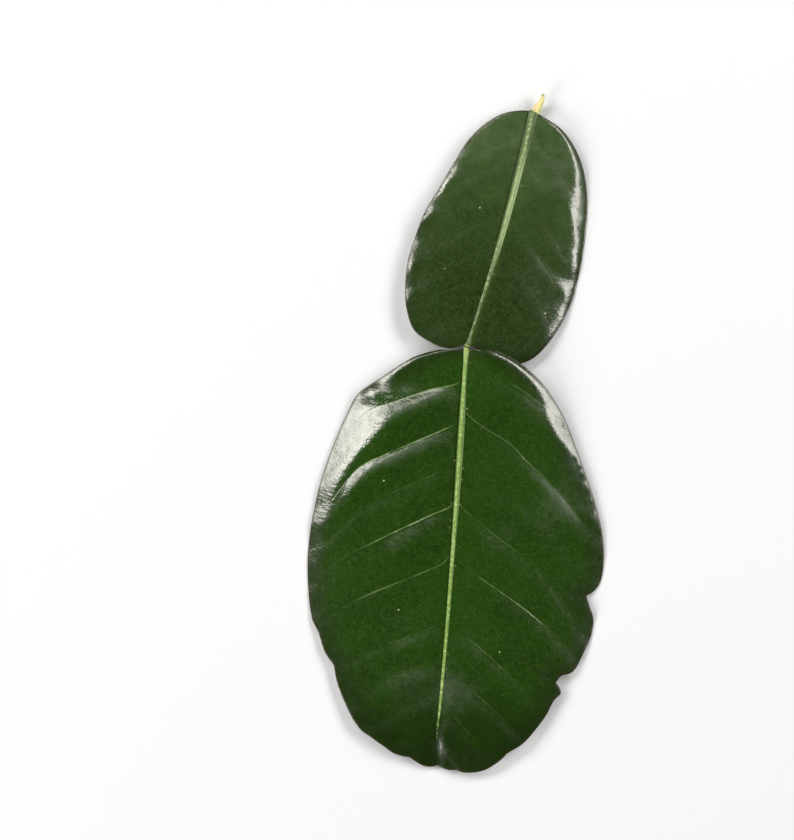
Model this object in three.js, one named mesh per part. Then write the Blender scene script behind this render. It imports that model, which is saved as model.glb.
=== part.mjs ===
// A makrut (kaffir) lime leaf, as picked. It is a double leaf: a broad leaf blade hangs on a leaf stalk that
// has grown a wing on each side, and the two meet at a natural joint where the blade drops off.
// Units are millimetres, +Z is up, and the leaf lies face up with its blade towards -Y.
// Both pieces are first laid out about the joint. The finished leaf is then moved so that the origin is the
// middle of its footprint, on the surface that it rests on.
import * as THREE from "three";
import { mergeVertices } from "three/addons/utils/BufferGeometryUtils.js";

// Driving dimensions
const LAMINA_THICKNESS = 0.38; // of the leathery leaf between its veins
const MARGIN_THICKNESS = 0.3;
const JOINT_HEIGHT = 3.2; // from the resting surface to the underside of the leaf at the joint
const JOINT_RADIUS = 0.6; // of the knuckle where the blade meets its stalk
const JOINT_GAP = 0.04; // the clean break line round the knuckle
const NECK_RADIUS = 0.52; // of the narrower midrib on both sides of the knuckle
const KNUCKLE_TOP = 0.55; // how far the knuckle stands over and under the height of the joint
const KNUCKLE_BOTTOM = 0.75;
const STALK_RADIUS = 0.78;
const STALK_TOP = 0.5;
const STALK_BOTTOM = 1.05;
const WING_LEAN = THREE.MathUtils.degToRad(-11.7); // the stalk turns off the blade's line at the joint
const WING_START = 43; // from the joint to where the wings begin, along the stalk
const WING_BOW = 0.55; // how far the stalk bends to the right at its middle
const RIDGE_RISE = 0.18; // of the midrib over the upper face, as a share of its half width
const MARGIN_PAD = 0.984; // beyond this share of the half width the underside runs level, to rest on

// Mesh density: rows along the leaf, and the shares of the half width where the columns between veins stand
const BLADE_ROWS = 76;
const WING_ROWS = 44;
const LAMINA_COLUMNS = [0.14, 0.3, 0.46, 0.6, 0.72, 0.82, 0.9, 0.95, MARGIN_PAD, 1];
const RIB_COLUMNS = [0.6, 1]; // shares of the midrib's half width

// Margins in plan, from the piece's stalk end to its far end. +X is the right of a leaf seen from above. Each
// list inside a margin is one smooth scallop, and scallops meet in a small sharp notch.
const BLADE_TIP = [0.4, -73.7]; // itself a shallow notch, as on most of these leaves
const BLADE_LEFT = [
  [
    [-0.55, -0.4], [-2.6, -0.75], [-4.8, -0.8], [-7.4, -1.6], [-9.7, -2.7], [-14.7, -6.5],
    [-18.4, -9.5], [-20, -13], [-22.4, -20], [-24.2, -27.5], [-25.1, -36.5], [-24.7, -43.5],
    [-23.5, -49.6], [-22.2, -51.9], [-20.8, -55.3], [-19.1, -57.4],
  ],
  [[-19.1, -57.4], [-18.4, -60.1], [-16.9, -63.4], [-14.8, -66.9], [-13.3, -68.5], [-11.8, -69.3]],
  [[-11.8, -69.3], [-9.4, -70.8], [-7.3, -72], [-4.6, -72.5]],
  [[-4.6, -72.5], [-3.4, -73.2], [-2.1, -73.8], [-0.9, -73.9], BLADE_TIP],
];
const BLADE_RIGHT = [
  [
    [0.55, -0.4], [2.4, 0], [4.4, 0.05], [6.9, -0.8], [9.7, -2.2], [12.5, -4.2], [15.2, -7],
    [18, -11], [21, -17.2], [24.4, -25], [26.3, -31], [26.9, -36.2], [26.5, -39.5], [25.5, -41.1],
    [24.3, -41.9],
  ],
  [
    [24.3, -41.9], [25, -43.8], [25.8, -45.9], [25.6, -49], [24.6, -51.8], [23.2, -55], [22.4, -55.7],
    [20.9, -56.2], [20, -57.4],
  ],
  [
    [20, -57.4], [20.8, -58.5], [21, -59.3], [19.9, -60.6], [18.8, -63.1], [16.9, -66.1], [15, -68.5],
    [12.4, -70.4],
  ],
  [[12.4, -70.4], [11.1, -71.9], [8.6, -73.7], [6.5, -74.3], [4.8, -74.4], [3.6, -74.1]],
  [[3.6, -74.1], [2.1, -74.2], BLADE_TIP],
];
const WING_LEFT = [
  [
    [-STALK_RADIUS, WING_START], [-2.4, 42.6], [-5, 41.3], [-7.5, 38.8], [-9.7, 35], [-11, 30.5],
    [-12.3, 25.5], [-13.5, 21], [-14, 16], [-14, 11.4], [-13.2, 7], [-11.9, 3.5], [-9.6, 0.3],
    [-6.8, -0.8], [-4.2, -1.15], [-2.3, -0.8], [-0.5, 0.45],
  ],
];
const WING_RIGHT = [
  [
    [STALK_RADIUS, WING_START], [2.4, 42.5], [5.4, 41.5], [8.7, 39], [11.4, 35.4], [13.4, 30.7],
    [14.8, 24.5], [15.5, 18.5], [15.7, 14], [15.2, 9.8], [14, 5.6], [12.1, 1.8], [10.3, 0.1],
    [8.2, -0.9], [5.8, -1.1], [3.6, -0.5], [1.9, 0.2], [0.5, 0.45],
  ],
];

// The stalk's torn end: [along, across, up, radius] of the bark sliver that came away from the twig with it
const TORN_END = [
  [44.1, 0.12, 0.1, 0.7],
  [45, 0.38, 0.3, 0.52],
  [45.9, 0.6, 0.5, 0.38],
  [46.5, 0.72, 0.62, 0.25],
  [46.8, 0.76, 0.68, 0.1],
];

// A smooth function of one variable through [x, y] pairs that rise in x.
function profile(...knots) {
  const slope = (i) => {
    const a = knots[Math.max(i - 1, 0)];
    const b = knots[Math.min(i + 1, knots.length - 1)];
    return (b[1] - a[1]) / (b[0] - a[0]);
  };
  return (x) => {
    let i = 0;
    while (i < knots.length - 2 && x > knots[i + 1][0]) i++;
    const [[x0, y0], [x1, y1]] = [knots[i], knots[i + 1]];
    const step = x1 - x0;
    const t = THREE.MathUtils.clamp((x - x0) / step, 0, 1);
    const rise = t * t * (3 - 2 * t);
    const ease = t * (1 - t) * step;
    return y0 + (y1 - y0) * rise + ease * ((1 - t) * slope(i) - t * slope(i + 1));
  };
}

// Heights of the lamina's underside over the resting surface, down the midrib and round the margins, which
// come to 0 where the leaf rests. On its way out from the midrib each side bulges up by its crest and falls
// gently, and then the margin rolls down more steeply. `roll` is the share of the whole fall that is in the
// roll, and `rollPower` says how close to the margin it stays.
const blade = {
  midHeight: profile([0, JOINT_HEIGHT], [0.15, 3.5], [0.4, 3.8], [0.7, 3], [0.9, 1.4], [1, 0.3]),
  ribHalf: profile([0, JOINT_RADIUS], [0.03, 0.5], [0.15, 0.45], [0.45, 0.34], [0.75, 0.22], [0.93, 0.1],
    [1, 0]),
  keel: profile([0, KNUCKLE_BOTTOM], [0.1, 0.8], [0.5, 0.6], [0.85, 0.3], [1, 0.1]),
  stationPower: 1.5, // rows leave the midrib slantwise, as the side veins do
  left: {
    height: profile([0, JOINT_HEIGHT], [0.05, 2.8], [0.1, 2.1], [0.17, 1.1], [0.26, 0.3], [0.36, 0],
      [0.56, -0.05], [0.7, 0.3], [0.85, 0.8], [0.95, 0.5], [1, 0.3]),
    crest: profile([0, 0], [0.1, 0.3], [0.4, 0.4], [0.7, 0.4], [0.9, 0.2], [1, 0]),
    roll: profile([0, 0.9], [0.5, 0.8], [0.75, 0.4], [1, 0.2]),
    rollPower: 3.5,
  },
  right: {
    height: profile([0, JOINT_HEIGHT], [0.02, 3.3], [0.06, 3.1], [0.12, 2.3], [0.2, 1.2], [0.3, 0.4],
      [0.4, 0], [0.6, -0.05], [0.72, 0.5], [0.86, 0.9], [0.95, 0.5], [1, 0.3]),
    crest: profile([0, 0], [0.06, 0.5], [0.12, 0.5], [0.25, 0.1], [0.5, 0], [0.8, 0.2], [1, 0]),
    roll: profile([0, 0.9], [0.2, 0.8], [0.3, 0.2], [0.4, 0], [0.8, 0], [1, 0.2]),
    rollPower: 3.5,
  },
};
const wing = {
  midHeight: profile([0, 1.2], [0.25, 2.2], [0.6, 2.9], [0.85, 3.2], [1, JOINT_HEIGHT]),
  ribHalf: profile([0, STALK_RADIUS], [0.1, 0.72], [0.35, 0.6], [0.7, 0.4], [0.93, 0.3], [1, 0.5]),
  keel: profile([0, STALK_BOTTOM], [0.3, 0.95], [0.9, 0.65], [1, KNUCKLE_BOTTOM]),
  stationPower: 1.25,
  left: {
    height: profile([0, 1.2], [0.1, 1.3], [0.25, 1.5], [0.45, 1.6], [0.7, 1.7], [0.85, 2], [0.93, 2.4],
      [0.97, 2.8], [1, JOINT_HEIGHT]),
    crest: profile([0, 0], [0.2, 0.2], [0.5, 0.2], [0.9, 0.1], [1, 0]),
    roll: profile([0, 0.1], [0.2, 0.4], [1, 0.5]),
    rollPower: 9,
  },
  right: {
    height: profile([0, 1.2], [0.1, 1.2], [0.2, 0.8], [0.32, 0.2], [0.42, 0], [0.6, -0.05], [0.73, 0.2],
      [0.84, 0.7], [0.92, 1.3], [0.96, 1.9], [0.98, 2.5], [1, JOINT_HEIGHT]),
    crest: profile([0, 0], [0.2, 0.2], [0.75, 0.2], [0.9, 0.1], [1, 0]),
    roll: profile([0, 0.1], [0.12, 0.2], [0.22, 0.5], [1, 0.5]),
    rollPower: 8,
  },
};

// The points where a margin meets each row. Rows are evenly spaced along it, except that the row nearest to
// each notch moves onto it.
function marginPoints(scallops, rows) {
  const margin = new THREE.CurvePath();
  for (const points of scallops) {
    const outline = points.map(([x, y]) => new THREE.Vector3(x, y, 0));
    margin.add(new THREE.CatmullRomCurve3(outline, false, "centripetal"));
  }
  const lengths = margin.getCurveLengths();
  const notches = lengths.map((length) => length / lengths[lengths.length - 1]);
  const anchors = [[0, 0], ...notches.map((share) => [Math.round(share * rows), share])];
  return Array.from({ length: rows + 1 }, (_, row) => {
    const next = Math.max(anchors.findIndex(([at]) => at >= row), 1);
    const [[fromRow, from], [toRow, to]] = [anchors[next - 1], anchors[next]];
    const share = from + ((to - from) * (row - fromRow)) / (toRow - fromRow);
    const { x, y } = margin.getPoint(share);
    return { share, at: [x, y] };
  });
}

// One cross-section: the midrib's points and the lamina's on both sides, as [top, underside] pairs from the
// left margin to the right one. A row without lamina is a plain round section of the stalk.
function crossSection(row) {
  const { centre, across, ribHalf, ridge, keel, floor, thickness, left, right } = row;
  const pair = (x, y, under, top) => [new THREE.Vector3(x, y, top), new THREE.Vector3(x, y, under)];
  const rib = (share) => {
    const swell = Math.sqrt(1 - share * share);
    const x = centre[0] + across[0] * ribHalf * share;
    const y = centre[1] + across[1] * ribHalf * share;
    return pair(x, y, floor - keel * swell, floor + thickness + ridge * swell);
  };
  const lamina = (edge, sign, share) => {
    const start = [centre[0] + sign * across[0] * ribHalf, centre[1] + sign * across[1] * ribHalf];
    const reach = Math.min(share / MARGIN_PAD, 1);
    const fall = (1 - edge.roll) * reach ** 1.5 + edge.roll * reach ** edge.rollPower;
    const bulge = edge.crest * Math.sin(Math.PI * reach);
    const under = floor + (Math.max(edge.height, 0) - floor) * fall + bulge;
    const thick = thickness + (Math.min(MARGIN_THICKNESS, thickness) - thickness) * reach ** 3;
    const x = start[0] + (edge.at[0] - start[0]) * share;
    const y = start[1] + (edge.at[1] - start[1]) * share;
    return pair(x, y, under, under + thick);
  };
  return [
    ...LAMINA_COLUMNS.map((share) => lamina(left, -1, share)).reverse(),
    ...RIB_COLUMNS.map((share) => rib(-share)).reverse(),
    rib(0),
    ...RIB_COLUMNS.map(rib),
    ...LAMINA_COLUMNS.map((share) => lamina(right, 1, share)),
  ];
}

// A stalk section with no lamina: its side columns all meet at the section's widest point.
function stalkRow(centre, across, radius, height, ridge, keel) {
  const side = (sign) => ({
    at: [centre[0] + sign * across[0] * radius, centre[1] + sign * across[1] * radius],
    height,
    crest: 0,
    roll: 0,
    rollPower: 1,
  });
  const ends = { left: side(-1), right: side(1) };
  return { centre, across, ridge, keel, ribHalf: radius, floor: height, thickness: 0, ...ends };
}

// The rows of a lamina between its two ends, where the margins meet the midrib.
function laminaRows(piece, rows, midribPoint, acrossAt, leftScallops, rightScallops) {
  const edges = (scallops, { height, crest, roll, rollPower }) => marginPoints(scallops, rows).map(
    ({ at, share }) => ({ at, rollPower, height: height(share), crest: crest(share), roll: roll(share) }));
  const left = edges(leftScallops, piece.left);
  const right = edges(rightScallops, piece.right);
  return Array.from({ length: rows - 1 }, (_, i) => {
    const row = i + 1;
    const station = (row / rows) ** piece.stationPower;
    return {
      centre: midribPoint(station),
      across: acrossAt(station),
      ribHalf: piece.ribHalf(station),
      ridge: RIDGE_RISE * piece.ribHalf(station),
      keel: piece.keel(station),
      floor: piece.midHeight(station),
      thickness: LAMINA_THICKNESS,
      left: left[row],
      right: right[row],
    };
  });
}

// A closed solid through cross-sections: upper face, underside, two margins and two ends. Points that
// coincide are merged, and the triangles that this leaves with no area are dropped.
function solidThrough(rows) {
  const sections = rows.map(crossSection);
  const corners = [];
  const quad = (a, b, c, d) => corners.push(a, b, c, a, c, d);
  const last = sections[0].length - 1;
  const rim = ([upper, under], [nextUpper, nextUnder]) => quad(upper, under, nextUnder, nextUpper);
  for (let i = 0; i + 1 < sections.length; i++) {
    const [here, next] = [sections[i], sections[i + 1]];
    for (let j = 0; j < last; j++) {
      quad(here[j][0], next[j][0], next[j + 1][0], here[j + 1][0]);
      quad(here[j][1], here[j + 1][1], next[j + 1][1], next[j][1]);
    }
    rim(here[0], next[0]);
    rim(next[last], here[last]);
  }
  const [first, end] = [sections[0], sections[sections.length - 1]];
  for (let j = 0; j < last; j++) {
    rim(first[j + 1], first[j]);
    rim(end[j], end[j + 1]);
  }
  const soup = new THREE.BufferGeometry().setFromPoints(corners);
  const merged = mergeVertices(soup, 1e-3);
  const index = merged.index.array;
  const kept = [];
  for (let k = 0; k < index.length; k += 3) {
    const [a, b, c] = index.slice(k, k + 3);
    if (a !== b && b !== c && c !== a) kept.push(a, b, c);
  }
  merged.setIndex(kept);
  merged.computeVertexNormals();
  return merged;
}

// The leaf blade: the broad far part, from the joint to the tip.
function leafBlade() {
  const neck = BLADE_LEFT[0][0][1];
  const midribPoint = (station) => [BLADE_TIP[0] * station ** 6, neck + (BLADE_TIP[1] - neck) * station];
  const sideways = [1, 0];
  const rows = [
    stalkRow([0, 0], sideways, JOINT_RADIUS, JOINT_HEIGHT, KNUCKLE_TOP, KNUCKLE_BOTTOM),
    stalkRow(midribPoint(0), sideways, NECK_RADIUS, JOINT_HEIGHT, KNUCKLE_TOP, KNUCKLE_BOTTOM),
    ...laminaRows(blade, BLADE_ROWS, midribPoint, () => sideways, BLADE_LEFT, BLADE_RIGHT),
    { ...stalkRow(BLADE_TIP, sideways, 0, blade.midHeight(1), 0, 0), thickness: MARGIN_THICKNESS },
  ];
  const material = new THREE.MeshStandardMaterial({ color: 0x27470d, roughness: 0.35, metalness: 0 });
  const mesh = new THREE.Mesh(solidThrough(rows), material);
  mesh.name = "leaf_blade";
  return mesh;
}

// The winged stalk: the torn foot, the stalk and its two wings, down to the joint. It is laid out along +Y.
function wingedStalk() {
  const [, wingEnd] = WING_LEFT.at(-1).at(-1);
  const bowAt = (y) => WING_BOW * Math.sin((Math.PI * y) / WING_START);
  const midribPoint = (station) => {
    const y = WING_START + (wingEnd - WING_START) * station;
    return [bowAt(y), y];
  };
  // On the last tenth the sections turn back square to the blade, so that the two end faces meet.
  const acrossAt = (station) => {
    const turn = -WING_LEAN * THREE.MathUtils.smoothstep(station, 0.9, 1);
    return [Math.cos(turn), Math.sin(turn)];
  };
  const level = wing.midHeight(0);
  const torn = TORN_END.map(([along, across, up, radius]) =>
    stalkRow([across, along], [1, 0], radius, level + up, radius, radius));
  const rows = [
    ...torn.reverse(),
    stalkRow([0, WING_START], [1, 0], STALK_RADIUS, level, STALK_TOP, STALK_BOTTOM),
    ...laminaRows(wing, WING_ROWS, midribPoint, acrossAt, WING_LEFT, WING_RIGHT),
    stalkRow(midribPoint(1), acrossAt(1), NECK_RADIUS, JOINT_HEIGHT, KNUCKLE_TOP, KNUCKLE_BOTTOM),
    stalkRow([0, JOINT_GAP], acrossAt(1), JOINT_RADIUS, JOINT_HEIGHT, KNUCKLE_TOP, KNUCKLE_BOTTOM),
  ];
  const material = new THREE.MeshStandardMaterial({ color: 0x2e4a1a, roughness: 0.35, metalness: 0 });
  const mesh = new THREE.Mesh(solidThrough(rows), material);
  mesh.name = "winged_stalk";
  mesh.rotation.z = WING_LEAN;
  return mesh;
}

const leaf = new THREE.Group();
leaf.add(leafBlade(), wingedStalk());
const extent = new THREE.Box3().setFromObject(leaf, true);
const middle = extent.getCenter(new THREE.Vector3());
leaf.position.set(-middle.x, -middle.y, -extent.min.z);

const part = new THREE.Group();
part.add(leaf);
export default part;
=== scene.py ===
# A picked makrut (kaffir) lime leaf, lying face up on a pale table: a broad glossy blade, the joint that it
# drops off at, and a leaf stalk with a wing on each side and a torn foot. Outlines are in millimetres about
# the joint.
import math

import bpy
import numpy as np
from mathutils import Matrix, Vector, noise


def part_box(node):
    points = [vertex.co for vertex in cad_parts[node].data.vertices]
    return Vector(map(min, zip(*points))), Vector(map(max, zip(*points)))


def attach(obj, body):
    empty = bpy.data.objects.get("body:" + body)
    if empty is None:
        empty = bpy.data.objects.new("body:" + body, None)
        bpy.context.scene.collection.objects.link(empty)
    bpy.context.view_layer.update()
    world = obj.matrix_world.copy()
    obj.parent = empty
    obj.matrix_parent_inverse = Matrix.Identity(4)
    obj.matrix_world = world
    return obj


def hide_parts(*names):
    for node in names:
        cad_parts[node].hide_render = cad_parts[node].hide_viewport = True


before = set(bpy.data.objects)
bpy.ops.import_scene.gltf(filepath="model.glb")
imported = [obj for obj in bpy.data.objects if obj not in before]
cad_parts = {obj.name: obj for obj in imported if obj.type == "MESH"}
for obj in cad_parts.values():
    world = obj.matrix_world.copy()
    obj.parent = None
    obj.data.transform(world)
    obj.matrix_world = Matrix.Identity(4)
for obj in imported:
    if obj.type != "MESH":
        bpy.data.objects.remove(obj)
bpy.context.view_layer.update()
scene = bpy.context.scene
scene.view_settings.view_transform = "Standard"


# ------------------------------------------------------------------------------------------- Camera
# It hangs straight over the table, a little left of the leaf's middle, and is turned a few degrees about its
# own axis.
CAMERA_HEIGHT = 0.5
CAMERA_TURN = math.radians(4.21)
PICTURE_HEIGHT = 0.1478  # the length of table that the picture takes in
camera = bpy.data.objects.new("camera", bpy.data.cameras.new("camera"))
camera.location = (-0.0121, 0.0008, CAMERA_HEIGHT)
camera.rotation_euler.z = CAMERA_TURN
camera.data.sensor_width = 36
camera.data.lens = camera.data.sensor_width * CAMERA_HEIGHT / PICTURE_HEIGHT
scene.collection.objects.link(camera)
scene.camera = camera


# ------------------------------------------------------------------------------------------- Table and light
# A plain pale table, wide soft lights high behind the leaf to both sides, and a softer fill from the front
# left. The straight-up direction is left dark, so that a level glossy leaf shows its own green.
TABLE_SIZE = 4
TABLE_COLOUR = (0.69, 0.715, 0.755, 1)  # a cool white, since the light is warm
TABLE_GLOW = 0.06  # seen by the camera only
ROOM_GLOW = 0.015  # what the leaf and the table see of the room, which the camera sees as white
WHITE = (1, 1, 1, 1)


def set_inputs(node, inputs):
    """Set each of these inputs of a node to a value, or join it to another node's output."""
    for key, value in inputs.items():
        if isinstance(value, bpy.types.NodeSocket):
            node.id_data.links.new(value, node.inputs[key])
        else:
            node.inputs[key].default_value = value


def add(kind, inputs, tree=None, **settings):
    """Add a node, with these inputs and settings, to a tree of nodes or to the one its inputs come from."""
    tree = tree or next(value.id_data for value in inputs.values() if isinstance(value, bpy.types.NodeSocket))
    node = tree.nodes.new(kind)
    for key, value in settings.items():
        setattr(node, key, value)
    set_inputs(node, inputs)
    return node


def maths(operation, *values):
    return add("ShaderNodeMath", dict(enumerate(values)), operation=operation).outputs[0]


corner = TABLE_SIZE / 2
table_mesh = bpy.data.meshes.new("table")
table_corners = [(x * corner, y * corner, 0) for x, y in ((-1, -1), (1, -1), (1, 1), (-1, 1))]
table_mesh.from_pydata(table_corners, [], [(0, 1, 2, 3)])
table = bpy.data.objects.new("table", table_mesh)
scene.collection.objects.link(table)

table_finish = bpy.data.materials.new("pale_table")
table_finish.use_nodes = True
tree = table_finish.node_tree
seen = add("ShaderNodeLightPath", {}, tree).outputs["Is Camera Ray"]
table_look = {"Base Color": TABLE_COLOUR, "Roughness": 0.9, "Specular IOR Level": 0}
table_look |= {"Emission Color": WHITE, "Emission Strength": maths("MULTIPLY", seen, TABLE_GLOW)}
set_inputs(tree.nodes["Principled BSDF"], table_look)
table_mesh.materials.append(table_finish)

# [name, compass angle from +X in degrees, angle from straight up, width, height, watts]
SOFT_LIGHTS = [
    ("soft_light_left", 159, 54, 0.5, 0.36, 6.1),
    ("soft_light_back_left", 121, 47, 0.6, 0.18, 2.6),
    ("soft_light_right", 28, 54, 1.15, 0.36, 11),
    ("soft_fill", 222, 67, 0.5, 0.36, 7.5),
]
LIGHT_COLOUR = (1, 0.96, 0.9)
LIGHT_DISTANCE = 1.0
for name, compass, lean, width, height, watts in SOFT_LIGHTS:
    lamp = bpy.data.lights.new(name, "AREA")
    lamp.shape = "RECTANGLE"
    lamp.size, lamp.size_y, lamp.energy, lamp.color = width, height, watts, LIGHT_COLOUR
    light = bpy.data.objects.new(name, lamp)
    flat, up = math.sin(math.radians(lean)), math.cos(math.radians(lean))
    towards = math.radians(compass)
    light.location = Vector((flat * math.cos(towards), flat * math.sin(towards), up)) * LIGHT_DISTANCE
    light.rotation_euler = light.location.to_track_quat("Z", "Y").to_euler()
    scene.collection.objects.link(light)

scene.world = bpy.data.worlds.new("room")
scene.world.use_nodes = True
tree = scene.world.node_tree
seen = add("ShaderNodeLightPath", {}, tree).outputs["Is Camera Ray"]
brightness = add("ShaderNodeMapRange", {"Value": seen, "To Min": ROOM_GLOW, "To Max": 1}).outputs["Result"]
set_inputs(tree.nodes["Background"], {"Color": WHITE, "Strength": brightness})


# ------------------------------------------------------------------------------------------- Leaf blade
# The broad, leathery outer part of the double leaf. It grew flat from a thick midrib, bulges up between its
# sunken side veins, and its margin rolls down to the table. Its foot is half of the knuckle that it breaks
# off at.
MM = 0.001
LAMINA_THICKNESS = 0.38
MARGIN_THICKNESS = 0.3
RIM_RADIUS = 0.14
JOINT_HEIGHT = 3.2
BLADE_ROWS = 330

# Each list is one smooth scallop of the margin, from the joint to the tip. Scallops meet in a sharp notch.
BLADE_TIP = [0.4, -73.7]
BLADE_LEFT = [
    [[-0.55, -0.4], [-2.6, -0.75], [-4.8, -0.8], [-7.4, -1.6], [-9.7, -2.7], [-14.7, -6.5], [-18.4, -9.5],
     [-20, -13], [-22.4, -20], [-24.2, -27.5], [-25.1, -36.5], [-24.7, -43.5], [-23.5, -49.6], [-22.2, -51.9],
     [-20.8, -55.3], [-19.1, -57.4]],
    [[-19.1, -57.4], [-18.4, -60.1], [-16.9, -63.4], [-14.8, -66.9], [-13.3, -68.5], [-11.8, -69.3]],
    [[-11.8, -69.3], [-9.4, -70.8], [-7.3, -72], [-4.6, -72.5]],
    [[-4.6, -72.5], [-3.4, -73.2], [-2.1, -73.8], [-0.9, -73.9], BLADE_TIP],
]
BLADE_RIGHT = [
    [[0.55, -0.4], [2.4, 0], [4.4, 0.05], [6.9, -0.8], [9.7, -2.2], [12.5, -4.2], [15.2, -7], [18, -11],
     [21, -17.2], [24.4, -25], [26.3, -31], [26.9, -36.2], [26.5, -39.5], [25.5, -41.1], [24.3, -41.9]],
    [[24.3, -41.9], [25, -43.8], [25.8, -45.9], [25.6, -49], [24.6, -51.8], [23.2, -55], [22.4, -55.7],
     [20.9, -56.2], [20, -57.4]],
    [[20, -57.4], [20.8, -58.5], [21, -59.3], [19.9, -60.6], [18.8, -63.1], [16.9, -66.1], [15, -68.5],
     [12.4, -70.4]],
    [[12.4, -70.4], [11.1, -71.9], [8.6, -73.7], [6.5, -74.3], [4.8, -74.4], [3.6, -74.1]],
    [[3.6, -74.1], [2.1, -74.2], BLADE_TIP],
]


def smooth(*knots):
    """A smooth function of one variable through [x, y] pairs that rise in x."""
    xs, ys = np.array(knots, float).T
    before, after = np.roll(np.arange(len(xs)), 1), np.roll(np.arange(len(xs)), -1)
    before[0], after[-1] = 0, len(xs) - 1
    slopes = (ys[after] - ys[before]) / (xs[after] - xs[before])

    def value(x):
        x = np.clip(x, xs[0], xs[-1])
        i = np.clip(np.searchsorted(xs, x, side="right") - 1, 0, len(xs) - 2)
        step = xs[i + 1] - xs[i]
        t = (x - xs[i]) / step
        ease = t * (1 - t) * step
        rise = (ys[i + 1] - ys[i]) * t * t * (3 - 2 * t)
        return ys[i] + rise + ease * ((1 - t) * slopes[i] - t * slopes[i + 1])

    return value


# Side veins, each as how plainly its line shows, the stretch that shows best, from and to so far from the
# midrib, how strongly the lamina swells just beyond it, as [distance from the midrib, how much], and its
# course, as [distance from the midrib, place along it]. They leave the midrib in a short hook and slant to
# the margin.
BLADE_VEINS_LEFT = [
    (0.7, 2, 17, [[0, 0.3], [4, 1.4], [8, 1.5], [12, 1.4], [17, 1.1], [24, 0.9]],
     [[0, -5.2], [1, -6.3], [2, -6.8], [5.8, -7.8], [10.9, -10], [15.2, -11.7], [17.4, -13.1], [27, -22]]),
    (0.85, 3, 21,
     [[0, 0.6], [4, 1.5], [9, 1.75], [14, 1.8], [17, 2], [18.5, 1.6], [20, 0.6], [22, 0.2], [25, 0.1]],
     [[0, -12.3], [1, -13.5], [2.8, -14.5], [6.9, -16.6], [13.7, -20.1], [16.2, -21.5], [18.4, -23.4],
      [21.4, -27.9], [27, -36]]),
    (0.15, 4, 10, [[0, 0.3], [8, 0.5], [20, 0.4]],
     [[0, -19.5], [1, -20.8], [7, -24], [15, -28.5], [20, -33], [27, -41]]),
    (0.95, 0, 13, [[0, 0.4], [4, 1.2], [9, 1.1], [13, 0.3], [25, 0.2]],
     [[0, -26.3], [1, -27.9], [4.2, -29.6], [10.1, -32.9], [15.2, -35.9], [18.9, -38.1], [27, -46]]),
    (0.6, 1.5, 14, [[0, 0.1], [25, 0.2]],
     [[0, -35.2], [0.8, -37], [1.8, -38.1], [8.6, -41.6], [15.4, -45.1], [20, -48.3], [27, -54]]),
    (0.05, 2, 5, [[0, 0.1], [25, 0.1]],
     [[0, -41.5], [1, -43], [8, -47], [15, -50.5], [20, -54], [27, -60]]),
    (0.2, 3, 9, [[0, 0.3], [4, 0.75], [10, 0.6], [15, 0.3]],
     [[0, -46.8], [1, -48.4], [4.4, -50.1], [8.7, -52.2], [13, -53.9], [18, -57.5], [27, -66]]),
    (0.12, 3, 8, [[0, 0.5], [4, 0.9], [8, 0.8], [12, 0.3]],
     [[0, -53.8], [0.5, -55.1], [5.7, -56.9], [9.1, -58], [14, -61.5], [20, -67], [27, -74]]),
    (0.1, 2, 6, [[0, 0.5], [10, 0.4]],
     [[0, -59.5], [0.8, -61], [5, -63], [10, -66], [16, -71.5], [27, -81]]),
    (0.05, 2, 5, [[0, 0.2], [10, 0.2]],
     [[0, -64.5], [0.6, -65.8], [4, -67.8], [9, -71.5], [27, -86]]),
]
BLADE_VEINS_RIGHT = [
    (0.6, 10, 15.5, [[0, 0.4], [10, 0.6], [20, 0.6]],
     [[0, -1.6], [1, -2.6], [5, -4.3], [10, -6.7], [13.7, -8.9], [15.6, -10.1], [19, -13.5], [28, -22]]),
    (0.55, 0, 13, [[0, 0.1], [7, 0.25], [11, 0.4], [16, 0.6], [22, 0.6], [28, 0.4]],
     [[0, -9.8], [0.5, -11.3], [3.5, -13.5], [9, -16.5], [11.6, -18.9], [16, -22.5], [21, -27.5],
      [28, -35]]),
    (0.05, 3, 8, [[0, 0.2], [20, 0.2]],
     [[0, -18.2], [0.6, -19.5], [6, -23.2], [12, -27], [18, -32], [24, -38], [28, -43]]),
    (0.35, 0, 9, [[0, 0.3], [6, 0.6], [12, 0.3]],
     [[0, -26], [0.4, -27.3], [3.8, -30.1], [10.3, -34.5], [14, -36.7], [16.8, -39.4], [19.6, -43.2],
      [28, -52]]),
    (0.8, 6, 15, [[0, 0.3], [20, 0.4]],
     [[0, -35.6], [1, -37.2], [5.4, -40.2], [9.1, -42.4], [14.7, -45.9], [20, -50.2], [28, -58]]),
    (0.05, 3, 8, [[0, 0.1], [20, 0.1]],
     [[0, -42], [0.8, -43.6], [6, -47], [12, -50.7], [18, -55], [28, -64]]),
    (0.4, 5, 10, [[0, 0.4], [3, 0.65], [10, 0.55], [16, 0.3]],
     [[0, -48.3], [0.6, -49.6], [1.7, -50], [4.5, -51.2], [8.2, -53.9], [10.1, -55.5], [15, -59.5],
      [28, -70]]),
    (0.3, 5, 9, [[0, 0.7], [10, 0.6]],
     [[0, -54.6], [0.6, -56.3], [3.2, -58.3], [6.6, -60.8], [12, -65], [28, -78]]),
    (0.3, 1, 5, [[0, 0.5], [10, 0.4]],
     [[0, -60.8], [0.6, -62.4], [3, -65], [8, -69.5], [28, -84]]),
]


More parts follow.
